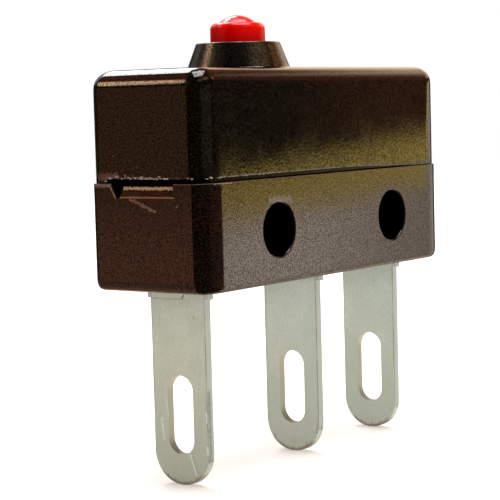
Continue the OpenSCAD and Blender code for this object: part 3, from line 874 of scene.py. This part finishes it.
def cover_shell():
    """The cap's laps, from the roof inside, round the lower edge and up over the top."""
    bm = bmesh.new()
    cavity = lap(cover_half_l - COVER_WALL, cover_half_w - COVER_WALL, INNER_CORNER, INNER_CORNER)
    land = wall_lap(cover_half_l, cover_half_w, COVER_CORNER, SEAM_DEPTH)
    wall = wall_lap(cover_half_l, cover_half_w, COVER_CORNER)
    rings = [ring(bm, cavity, ROOF_Z), ring(bm, cavity, JOINT_Z)]
    rings += [ring(bm, land, JOINT_Z), ring(bm, land, seam_edge)]
    for edge, lift in broken_edge(cover_half_l, cover_half_w, COVER_CORNER):
        rings.append(ring(bm, edge, lambda x, y: seam_edge(x, y) + ragged(x, y) + lift))
    low_z, high_z = JOINT_Z + SEAM_H + 3 * EDGE_BREAK, COVER_TOP_Z - END_ROUND
    for k in range(WALL_LAPS):
        rings.append(ring(bm, wall, low_z + (high_z - low_z) * k / (WALL_LAPS - 1)))
    for k in range(1, ROUND_STEPS + 1):
        a = math.pi / 2 * k / ROUND_STEPS
        drop, end_in = END_ROUND * (1 - math.sin(a)), END_ROUND * (1 - math.cos(a))
        risen = (1 - drop / END_ROUND) ** 2
        on_end, on_side = (c + (TOP_CORNER - c) * risen for c in COVER_CORNER)
        top = lap(cover_half_l - end_in, cover_half_w - round_in(SIDE_ROUND, drop), on_end, on_side)
        rings.append(ring(bm, top, COVER_TOP_Z - drop))
    strips(bm, rings)
    return bm, rings[0], rings[-1]


def boss_profile():
    """Half outline of the boss from the cover's top, over its rim and down the bore to the roof."""
    corners = [
        (BOSS_FOOT_R + 3 * BOSS_FILLET, COVER_TOP_Z, 0),
        (BOSS_FOOT_R, COVER_TOP_Z, BOSS_FILLET),
        (BOSS_RIM_R, cover_high.z, BOSS_RIM_ROUND),
        (BORE_R, cover_high.z, BORE_LIP),
        (BORE_R, ROOF_Z, 0),
    ]
    return rounded(corners)[1:]


# %% Cover
BEHIND_EDGE = 0.03
bm, roof_ring, top_ring = cover_shell()
boss_rings = [ring(bm, circle_points(PLUNGER_X, r, BOSS_STEPS), z) for r, z in boss_profile()]
strips(bm, boss_rings)
fill_between(bm, top_ring, boss_rings[0])
fill_between(bm, roof_ring, boss_rings[-1])


def in_seam(place):
    """True inside the open seam and the cover's cavity."""
    inset = min(cover_half_l - abs(place.x - CASE_X), cover_half_w - abs(place.y))
    in_gap = inset > BEHIND_EDGE and place.z < JOINT_Z + SEAM_H + 0.015
    in_cavity = inset > COVER_WALL - 0.01 and place.z < ROOF_Z
    return in_gap or in_cavity


# Faces in the open seam and the cavity get painted shade, nearly black.
cover_drawn = with_painted_shade(drawn_object("cover_cap", bm), in_seam)
finished(cover_drawn, cover_finish, "case", "cover_moulding", "cover")

# %% [markdown]
# Where the two halves meet, the moulding left flash: pale crumbs that cling to the cover's lower edge,
# thickest at the plunger end. They could be painted on, but they stand proud and catch light. They follow a
# path and repeat, so a Geometry Nodes tree scatters small stretched crumbs along the edge, with a fixed
# seed.


# %% Flash finish
def flash_pale(name):
    """Rough pale crumbs of moulding compound."""
    made = Finish(name)
    tone = made.blend(made.band(made.ragged, 0.35, 0.65), (0.34, 0.27, 0.24), (0.11, 0.07, 0.06))
    made.set(Base_Color=tone, Roughness=made.band(made.ragged, *NOISE_SPAN, 0.55, 0.8))
    return made.material


flash_finish = flash_pale("flash_crumbs")
print("flash finish:", flash_finish.name)

# %% [markdown]
# A Geometry Nodes tree can be used on many objects, so its sizes are named inputs. Both trees of this part
# start and end alike: they take a mesh, sizes and a finish, and they give real geometry in that finish.


# %% Tree helpers
def new_rule(name, sizes, counts=()):
    """A new tree that takes a mesh, sizes, counts and a finish. Gives the tree and its inputs."""
    tree = bpy.data.node_groups.new(name, "GeometryNodeTree")
    asked = [("Geometry", "Geometry")] + [(size, "Float") for size in sizes]
    asked += [(count, "Int") for count in counts] + [("Finish", "Material")]
    for label, kind in asked:
        tree.interface.new_socket(label, in_out="INPUT", socket_type="NodeSocket" + kind)
    tree.interface.new_socket("Geometry", in_out="OUTPUT", socket_type="NodeSocketGeometry")
    return tree, add_node(tree, "NodeGroupInput").outputs


def closed_rule(tree, given, shape):
    """Ends a tree with real geometry in its finish."""
    real = out_of(tree, "GeometryNodeRealizeInstances", {0: shape})
    painted = out_of(tree, "GeometryNodeSetMaterial", {"Geometry": real, "Material": given["Finish"]})
    add_node(tree, "NodeGroupOutput", {"Geometry": painted})
    print("%s: a tree of %d nodes" % (tree.name, len(tree.nodes)))
    return tree


def fitted(made, rule, sizes):
    """Adds a tree to an object, sets its inputs by identifier and settles the result."""
    step = made.modifiers.new(rule.name, "NODES")
    step.node_group = rule
    for socket in rule.interface.items_tree:
        if socket.in_out == "INPUT" and socket.name in sizes:
            step[socket.identifier] = sizes[socket.name]
    return settled(made)


# %% Flash tree
def flash_tree():
    """Crumbs along a path. The path's own attributes say how many are kept and how far up they lie."""
    tree, given = new_rule("seam_flash", ("Spacing", "Long", "Thick", "Tall"), ("Seed",))

    def add(kind, inputs=None, output=0, **options):
        return out_of(tree, kind, inputs, output, **options)

    def of_path(name):
        return add("GeometryNodeInputNamedAttribute", {"Name": name}, data_type="FLOAT")

    def chance(low, high, step):
        seed = calc(tree, "ADD", given["Seed"], float(step))
        return add("FunctionNodeRandomValue", {"Seed": seed, 2: low, 3: high}, 1, data_type="FLOAT")

    def times(first, second):
        return calc(tree, "MULTIPLY", first, second)

    edge = add("GeometryNodeMeshToCurve", {"Mesh": given["Geometry"]})
    steps = add("GeometryNodeResampleCurve", {"Curve": edge, "Length": given["Spacing"]}, mode="LENGTH")
    lift = times(times(chance(0, 1, 1), chance(0, 1, 2)), of_path("spread"))
    up = add("ShaderNodeCombineXYZ", {2: lift})
    strewn = add("GeometryNodeSetPosition", {"Geometry": steps, "Offset": up})
    kept = calc(tree, "LESS_THAN", chance(0, 1, 3), of_path("keep"))
    tangent = add("GeometryNodeInputTangent")
    along = add("FunctionNodeAlignRotationToVector", {"Vector": tangent}, axis="X", pivot_axis="Z")
    size = add("ShaderNodeCombineXYZ", {
        0: times(given["Long"], chance(0.3, 1, 4)),
        1: times(given["Thick"], chance(0.5, 1, 5)),
        2: times(given["Tall"], chance(0.3, 1, 6)),
    })
    crumb = add("GeometryNodeMeshIcoSphere", {"Radius": 1.0, "Subdivisions": 2})
    placed = add("GeometryNodeInstanceOnPoints", {
        "Points": strewn, "Selection": kept, "Instance": crumb, "Rotation": along, "Scale": size,
    })
    return closed_rule(tree, given, placed)


# %% Flash
FLASH_FRONT_X, FLASH_BACK_Y = -5.6, 2.3
FLASH_IN, FLASH_UP = 0.012, 0.02
CLUMP = 1.6
FLASH_SIZES = {
    "Spacing": 0.035, "Long": 0.12, "Thick": 0.026, "Tall": 0.055, "Seed": 7, "Finish": flash_finish,
}


def flash_path():
    """The part of the cover's lower edge that carries flash, with its keep and spread at each point."""
    outline = lap(cover_half_l - FLASH_IN, cover_half_w - FLASH_IN, *COVER_CORNER)
    points = [(x, y) for x, y in outline if x < FLASH_FRONT_X and y < FLASH_BACK_Y]
    places = [(x, y, seam_edge(x, y) + FLASH_UP) for x, y in points]
    mesh = bpy.data.meshes.new("seam_flash")
    mesh.from_pydata(places, [(i, i + 1) for i in range(len(places) - 1)], [])
    at_back = [smooth_step(y, 0.6, 1.6) for x, y in points]
    at_end = [smooth_step(-x, 9.9, 10.2) for x, y in points]
    clump = [smooth_step(noise.noise(Vector((CLUMP * x, CLUMP * y, 5.3))), -0.25, 0.35) for x, y in points]
    rows = {
        "keep": [c * (0.3 + 0.45 * e) + 0.35 * b for c, e, b in zip(clump, at_end, at_back)],
        "spread": [0.03 + 0.09 * e + 0.32 * b for e, b in zip(at_end, at_back)],
    }
    for name, values in rows.items():
        mesh.attributes.new(name, "FLOAT", "POINT").data.foreach_set("value", values)
    made = bpy.data.objects.new("seam_flash", mesh)
    bpy.context.scene.collection.objects.link(made)
    return made


finished(fitted(flash_path(), flash_tree(), FLASH_SIZES), flash_finish, "case", "cover_moulding")

# %% [markdown]
# ## Base
#
# The lower half is a tray with a spigot that stands up inside the cover. Its walls are laps again. The two
# mounting holes, the blades' slots and the prying notch are cut by Boolean modifiers, because cuts that
# cross a wall are simplest as cutters.

# %% Base body
BASE_CORNER = (0.6, 1.36)
FOOT_END, FOOT_SIDE, FOOT_STEPS = 0.5, 0.2, 7
SPIGOT_OUT, SPIGOT_IN = 1.0, 1.5
POCKET_Z = 1.55
base_half_l = (base_high.x - base_low.x) / 2
base_half_w = (base_high.y - base_low.y) / 2
print("base is %.2f by %.2f mm" % (2 * base_half_l, 2 * base_half_w))


def base_tray():
    """The tray's laps, from the floor of its pocket, over the spigot and down to the underside."""
    bm = bmesh.new()
    pocket = lap(base_half_l - SPIGOT_IN, base_half_w - SPIGOT_IN, INNER_CORNER, INNER_CORNER)
    spigot = lap(base_half_l - SPIGOT_OUT, base_half_w - SPIGOT_OUT, INNER_CORNER, INNER_CORNER)
    rings = [ring(bm, pocket, POCKET_Z), ring(bm, pocket, base_high.z)]
    rings += [ring(bm, spigot, base_high.z), ring(bm, spigot, JOINT_Z)]
    for edge, drop in broken_edge(base_half_l, base_half_w, BASE_CORNER):
        rings.append(ring(bm, edge, JOINT_Z - drop))
    for k in range(FOOT_STEPS + 1):
        a = math.pi / 2 * k / FOOT_STEPS
        level, end_in = FOOT_END * (1 - math.sin(a)), FOOT_END * (1 - math.cos(a))
        side_in = round_in(FOOT_SIDE, level)
        foot_corner = BASE_CORNER[0] - side_in, BASE_CORNER[1] - end_in
        foot = lap(base_half_l - end_in, base_half_w - side_in, *foot_corner)
        rings.append(ring(bm, foot, UNDER_Z + level))
    strips(bm, rings)
    bm.faces.new(rings[0])
    bm.faces.new(rings[-1])
    return drawn_object("base_tray", bm)


# %% Hole and slot cutters
HOLE_X, HOLE_R, HOLE_STEPS = 4.75, 1.2, 72
HOLE_MOUTH, MOUTH_STEPS = 0.08, 6
BLADE_T, BLADE_W, BLADE_GAP = 0.4, 3.0, 0.02
PAST = 0.5


def hole_cutter(x):
    """A turned cutter for a mounting hole with rounded mouths, laid along Y."""
    bm = bmesh.new()
    half = []
    for k in range(MOUTH_STEPS + 1):
        a = math.pi / 2 * k / MOUTH_STEPS
        out = base_half_w - HOLE_MOUTH + HOLE_MOUTH * math.sin(a)
        half.append((HOLE_R + HOLE_MOUTH * (1 - math.cos(a)), out))
    half.append((HOLE_R + HOLE_MOUTH, base_half_w + PAST))
    profile = [(r, -y) for r, y in reversed(half)] + half
    turned(bm, [(0, profile[0][1])] + profile + [(0, profile[-1][1])], 0, HOLE_STEPS)
    laid = Matrix.Translation((x, 0, 0)) @ Matrix.Rotation(math.pi / 2, 4, "X")
    bmesh.ops.transform(bm, matrix=laid, verts=bm.verts)
    return drawn_object("hole_cutter", bm)


def slot_cutter(x):
    """A box that opens the slot of one blade through the tray's floor."""
    bm = bmesh.new()
    half_t, half_w = BLADE_T / 2 + BLADE_GAP, BLADE_W / 2 + BLADE_GAP
    outline = [(x - half_t, UNDER_Z - PAST), (x + half_t, UNDER_Z - PAST)]
    outline += [(x + half_t, POCKET_Z + PAST), (x - half_t, POCKET_Z + PAST)]
    prism(bm, outline, across_y, (-half_w, half_w))
    return drawn_object("slot_cutter", bm)


# %% Notch cutters
NOTCH_Y = (-1.65, 1.45)
LEDGE_Z, BEVEL_FOOT_Z = 2.18, 1.70
LEDGE_DEPTH, BEVEL_DEPTH = 0.6, 0.32
SLIT_Y, SLIT_LEAN = (1.28, 1.45, 1.79), 0.34
SLIT_Z = 1.66
WORN = 0.05


def notch_cutter():
    """The ledge and bevel of the prying notch, with worn edges."""
    bm = bmesh.new()
    x = base_low.x
    corners = [
        (x - PAST, JOINT_Z + PAST, 0), (x - PAST, BEVEL_FOOT_Z - PAST * WORN, 0), (x, BEVEL_FOOT_Z, WORN),
        (x + BEVEL_DEPTH, LEDGE_Z, WORN), (x + LEDGE_DEPTH, LEDGE_Z, 0), (x + LEDGE_DEPTH, JOINT_Z + PAST, 0),
    ]
    prism(bm, rounded(corners), across_y, NOTCH_Y)
    return drawn_object("notch_cutter", bm)


def slit_cutter():
    """The slit at the back end of the notch."""
    bm = bmesh.new()
    near, middle, far = SLIT_Y
    top = JOINT_Z + PAST
    outline = [(near, top), (near, SLIT_Z), (middle, SLIT_Z), (far + PAST * SLIT_LEAN, top)]
    prism(bm, outline, across_x, (base_low.x - PAST, base_low.x + LEDGE_DEPTH))
    return drawn_object("slit_cutter", bm)


# %% Base cuts
COMMON_X, OPEN_X = COMMON_FACE + BLADE_T / 2, OPEN_FACE + BLADE_T / 2
CLOSED_X = box_mm("normally_closed_terminal")[1].x - BLADE_T / 2


def carve(made, cutters):
    """Cuts each cutter out of an object and removes the cutters."""
    for cutter in cutters:
        cut = made.modifiers.new("cut", "BOOLEAN")
        cut.operation, cut.solver, cut.object = "DIFFERENCE", "EXACT", cutter
    settled(made)
    for cutter in cutters:
        bpy.data.objects.remove(cutter)
    return made


def in_recess(place):
    """True on the joint face, in the notch behind its bevel, in the slit and in the mounting holes."""
    inset = min(base_half_l - abs(place.x - CASE_X), base_half_w - abs(place.y))
    depth, back = place.x - base_low.x, SLIT_Y[2] + 0.05
    on_joint = place.z > JOINT_Z - 0.002 and inset > BEHIND_EDGE
    in_notch = place.z > BEVEL_FOOT_Z and NOTCH_Y[0] - 0.01 < place.y < back
    in_notch = in_notch and BEVEL_DEPTH - 0.02 < depth < LEDGE_DEPTH + 0.05
    in_slit = place.z > SLIT_Z - 0.01 and NOTCH_Y[1] - 0.2 < place.y < back
    in_slit = in_slit and BEHIND_EDGE < depth < LEDGE_DEPTH + 0.05
    in_hole = (abs(place.x) - HOLE_X) ** 2 + place.z**2 < (HOLE_R + 0.01) ** 2 and inset > HOLE_MOUTH
    return on_joint or in_notch or in_slit or in_hole


base_cutters = [hole_cutter(x) for x in (-HOLE_X, HOLE_X)]
base_cutters += [slot_cutter(x) for x in (COMMON_X, OPEN_X, CLOSED_X)]
base_cutters += [notch_cutter(), slit_cutter()]
# Faces on the joint face, in the notch, the slit and the holes get painted shade, nearly black.
base_drawn = with_painted_shade(carve(base_tray(), base_cutters), in_recess)
finished(base_drawn, base_finish, "case", "base_moulding", "base")

# %% [markdown]
# ## Button
#
# The red button is one turned moulding: a nose inside the case, a flange that stops it at the roof, the
# part that slides in the boss, and a low dome on its flat shoulder. A stack of cylinders would need its
# steps joined and rounded one by one, so a single half outline with its roundings is swept round instead.

# %% Button
SLIDE_R, FLANGE_R, NOSE_R, DOME_R = 1.245, 1.65, 0.65, 0.85
FLANGE_LOW, FLANGE_TOP, SHOULDER_Z = 5.6, 6.15, 9.22
NOSE_STEPS, DOME_STEPS, BUTTON_STEPS = 8, 12, 96


def button_profile():
    """Half outline of the button, from the pole of its nose to the pole of its dome."""
    nose_z, tip_z = plunger_low.z, plunger_high.z
    points = [(0, nose_z)]
    for k in range(1, NOSE_STEPS + 1):
        a = math.pi / 2 * k / NOSE_STEPS
        points.append((NOSE_R * math.sin(a), nose_z + NOSE_R * (1 - math.cos(a))))
    corners = [
        (NOSE_R, nose_z + NOSE_R, 0), (NOSE_R, FLANGE_LOW, 0.05), (FLANGE_R, FLANGE_LOW, 0.08),
        (FLANGE_R, FLANGE_TOP, 0.08), (SLIDE_R, FLANGE_TOP, 0.04), (SLIDE_R, SHOULDER_Z, 0.3),
        (DOME_R, SHOULDER_Z, 0), (0, SHOULDER_Z, 0),
    ]
    points += [tuple(p) for p in rounded(corners)[1:-2]]
    dome_h = tip_z - SHOULDER_Z
    sphere_r = (DOME_R**2 + dome_h**2) / (2 * dome_h)
    steep = math.asin(DOME_R / sphere_r)
    for k in range(DOME_STEPS + 1):
        a = steep * (1 - k / DOME_STEPS)
        points.append((sphere_r * math.sin(a), tip_z - sphere_r * (1 - math.cos(a))))
    return points


bm = bmesh.new()
turned(bm, button_profile(), PLUNGER_X, BUTTON_STEPS)
finished(drawn_object("red_button", bm), red_finish, "plunger", "red_button", "plunger")

# %% [markdown]
# ## Solder blades
#
# The three terminals are punched from one sheet: a blade with a round tip, a long slot for the wire and a
# shoulder that seats under the case. They follow one rule, so one Geometry Nodes tree makes all three from
# named sizes. Inside the case each has its own arm, which comes in as the object's drawn mesh.

# %% Blade tree
ARC_STEPS, ARC_SHARE, WELD = 14, 0.49, 1e-4
DRILL_STEPS, DRILL_DEPTH, DRILL_Z = 32, 20.0, 10.5
UPRIGHT = (math.pi / 2, 0, math.pi / 2)


def blade_tree():
    """Outline, fill and thickness of a blade, joined to its shoulder and its inner arm."""
    tree, given = new_rule("solder_blade", (
        "Blade Width", "Blade Length", "Sheet", "Slot Width", "Slot Length", "Slot To Tip", "Shoulder Width",
        "Shoulder Height", "Shoulder Level", "Tip Level", "Place", "Rivet Place", "Rivet Hole",
    ))

    def add(kind, inputs=None, output=0, **options):
        return out_of(tree, kind, inputs, output, **options)

    def half(value):
        return calc(tree, "DIVIDE", value, 2.0)

    def vector(x=0.0, y=0.0, z=0.0):
        return add("ShaderNodeCombineXYZ", {0: x, 1: y, 2: z})

    def moved(what, by, turned_by=(0, 0, 0)):
        return add("GeometryNodeTransform", {"Geometry": what, "Translation": by, "Rotation": turned_by})

    def rectangle(width, height, level):
        drawn = add("GeometryNodeCurvePrimitiveQuadrilateral", {"Width": width, "Height": height})
        return moved(drawn, vector(y=level))

    def round_ends(curve, radius):
        asked = {"Curve": curve, "Count": ARC_STEPS, "Radius": radius, "Limit Radius": True}
        return add("GeometryNodeFilletCurve", asked, mode="POLY")

    def plate(curve):
        face = add("GeometryNodeFillCurve", {"Curve": curve}, mode="NGONS")
        asked = {"Mesh": face, "Offset Scale": given["Sheet"], "Individual": False}
        sides = [add("GeometryNodeExtrudeMesh", asked), add("GeometryNodeFlipFaces", {"Mesh": face})]
        shell = add("GeometryNodeJoinGeometry", {0: sides})
        flat = add("GeometryNodeMergeByDistance", {"Geometry": shell, "Distance": WELD})
        to_place = vector(x=calc(tree, "SUBTRACT", given["Place"], half(given["Sheet"])))
        return moved(flat, to_place, UPRIGHT)

    middle = calc(tree, "ADD", given["Tip Level"], half(given["Blade Length"]))
    blank = rectangle(given["Blade Width"], given["Blade Length"], middle)
    level = add("ShaderNodeSeparateXYZ", {0: add("GeometryNodeInputPosition")}, 1)
    at_tip = calc(tree, "LESS_THAN", level, middle)
    tip_radius = calc(tree, "MULTIPLY", at_tip, calc(tree, "MULTIPLY", given["Blade Width"], ARC_SHARE))
    slot_level = calc(tree, "ADD", given["Slot To Tip"], half(given["Slot Length"]))
    slot_level = calc(tree, "ADD", given["Tip Level"], slot_level)
    slot = rectangle(given["Slot Width"], given["Slot Length"], slot_level)
    slot_radius = calc(tree, "MULTIPLY", given["Slot Width"], ARC_SHARE)
    curves = [round_ends(slot, slot_radius), round_ends(blank, tip_radius)]
    blade = plate(add("GeometryNodeJoinGeometry", {0: curves}))
    shoulder_level = calc(tree, "SUBTRACT", given["Shoulder Level"], half(given["Shoulder Height"]))
    shoulder = plate(rectangle(given["Shoulder Width"], given["Shoulder Height"], shoulder_level))
    parts = {"Mesh 2": [blade, shoulder, given["Geometry"]]}
    whole = add("GeometryNodeMeshBoolean", parts, operation="UNION", solver="EXACT")
    asked = {"Vertices": DRILL_STEPS, "Radius": half(given["Rivet Hole"]), "Depth": DRILL_DEPTH}
    drill = moved(add("GeometryNodeMeshCylinder", asked), vector(x=given["Rivet Place"], z=DRILL_Z))
    parts = {"Mesh 1": whole, "Mesh 2": drill}
    pierced = add("GeometryNodeMeshBoolean", parts, operation="DIFFERENCE", solver="EXACT")
    return closed_rule(tree, given, pierced)


blade_rule = blade_tree()

# %% [markdown]
# The arms inside are plain strips of the same sheet. The common terminal has a shelf for the spring's root
# and two notched ears for its legs; the other two carry the fixed contacts. Prisms are enough for them.

# %% Inner arms
CONTACT_X, CONTACT_REACH = 5.2, 0.95
RIVET_X, SHELF_END = COMMON_X + 0.75, COMMON_X + 1.5
SHELF_Z, LOWER_ARM_Z, UPPER_ARM_Z = 3.23, 1.95, 4.62
ARM_W, SPRING_W, STRIP_W = 2.2, 2.5, 2.6
EAR_X, EAR_W, EAR_Y = PLUNGER_X + 2.0, 0.65, 0.975
EAR_NOTCH_Z, EAR_NOTCH_H, EAR_TOP = 3.64, 0.7, 0.1


def strip(bm, x0, x1, z, width):
    """A level strip of the sheet between two places along the case."""
    outline = [(x0, z), (x1, z), (x1, z + BLADE_T), (x0, z + BLADE_T)]
    prism(bm, outline, across_y, (-width / 2, width / 2))


def ear(bm, y):
    """An upright ear with a notch for the end of a leg."""
    back, front = EAR_X - BLADE_T / 2, EAR_X + BLADE_T / 2
    half = EAR_NOTCH_H / 2
    top = EAR_NOTCH_Z + half + EAR_TOP
    outline = [(back, POCKET_Z), (front, POCKET_Z), (front, EAR_NOTCH_Z - half), (EAR_X, EAR_NOTCH_Z)]
    outline += [(front, EAR_NOTCH_Z + half), (front, top), (back, top)]
    prism(bm, outline, across_y, (y - EAR_W / 2, y + EAR_W / 2))


def common_arm(bm):
    strip(bm, COMMON_X - BLADE_T / 2, SHELF_END, SHELF_Z, SPRING_W)
    strip(bm, COMMON_X, EAR_X + BLADE_T / 2, POCKET_Z, STRIP_W)
    for side in (-1, 1):
        ear(bm, side * EAR_Y)


def open_arm(bm):
    strip(bm, OPEN_X - BLADE_T / 2, CONTACT_X + CONTACT_REACH, LOWER_ARM_Z, ARM_W)


def closed_arm(bm):
    strip(bm, CONTACT_X - CONTACT_REACH, CLOSED_X + BLADE_T / 2, UPPER_ARM_Z, ARM_W)


# %% Terminals
TIP_Z = cad_box[0].z / MM
SHEET_EDGE, SHEET_ANGLE = 0.035, math.radians(35)


def terminal(name, node, tin, draw_arm, place, arm_z, rivet_x):
    """One terminal: its drawn arm, the blade tree and a softened punched edge."""
    bm = bmesh.new()
    draw_arm(bm)
    made = fitted(drawn_object(name, bm), blade_rule, {
        "Blade Width": BLADE_W, "Blade Length": arm_z + BLADE_T - TIP_Z, "Sheet": BLADE_T, "Slot Width": 1.38,
        "Slot Length": 3.5, "Slot To Tip": 1.35, "Shoulder Width": 3.35, "Shoulder Height": 0.45,
        "Shoulder Level": UNDER_Z, "Tip Level": TIP_Z, "Place": place, "Rivet Place": rivet_x,
        "Rivet Hole": 0.86, "Finish": tin,
    })
    soft = made.modifiers.new("punched edge", "BEVEL")
    soft.width, soft.segments = SHEET_EDGE, 2
    soft.limit_method, soft.angle_limit = "ANGLE", SHEET_ANGLE
    finished(settled(made), tin, "case", "plated_terminal", node)


terminal("common_blade", "common_terminal", common_tin, common_arm, COMMON_X, SHELF_Z, RIVET_X)
terminal("open_blade", "normally_open_terminal", other_tin, open_arm, OPEN_X, LOWER_ARM_Z, CONTACT_X)
terminal("closed_blade", "normally_closed_terminal", other_tin, closed_arm, CLOSED_X, UPPER_ARM_Z, CONTACT_X)

# %% [markdown]
# ## Inner metal
#
# The snap spring, its rivet and the contacts are hidden in the closed case. Their CAD solids already have
# the right shape, so they stay and only take a finish.

# %% Inner metal
INNER = {
    "snap_spring": spring_finish,
    "spring_rivet": rivet_finish,
    "moving_contact": silver_finish,
    "normally_open_contact": silver_finish,
    "normally_closed_contact": silver_finish,
}
for node, finish in INNER.items():
    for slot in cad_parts[node].material_slots:
        slot.material = finish
print("inner metal finished:", ", ".join(INNER))
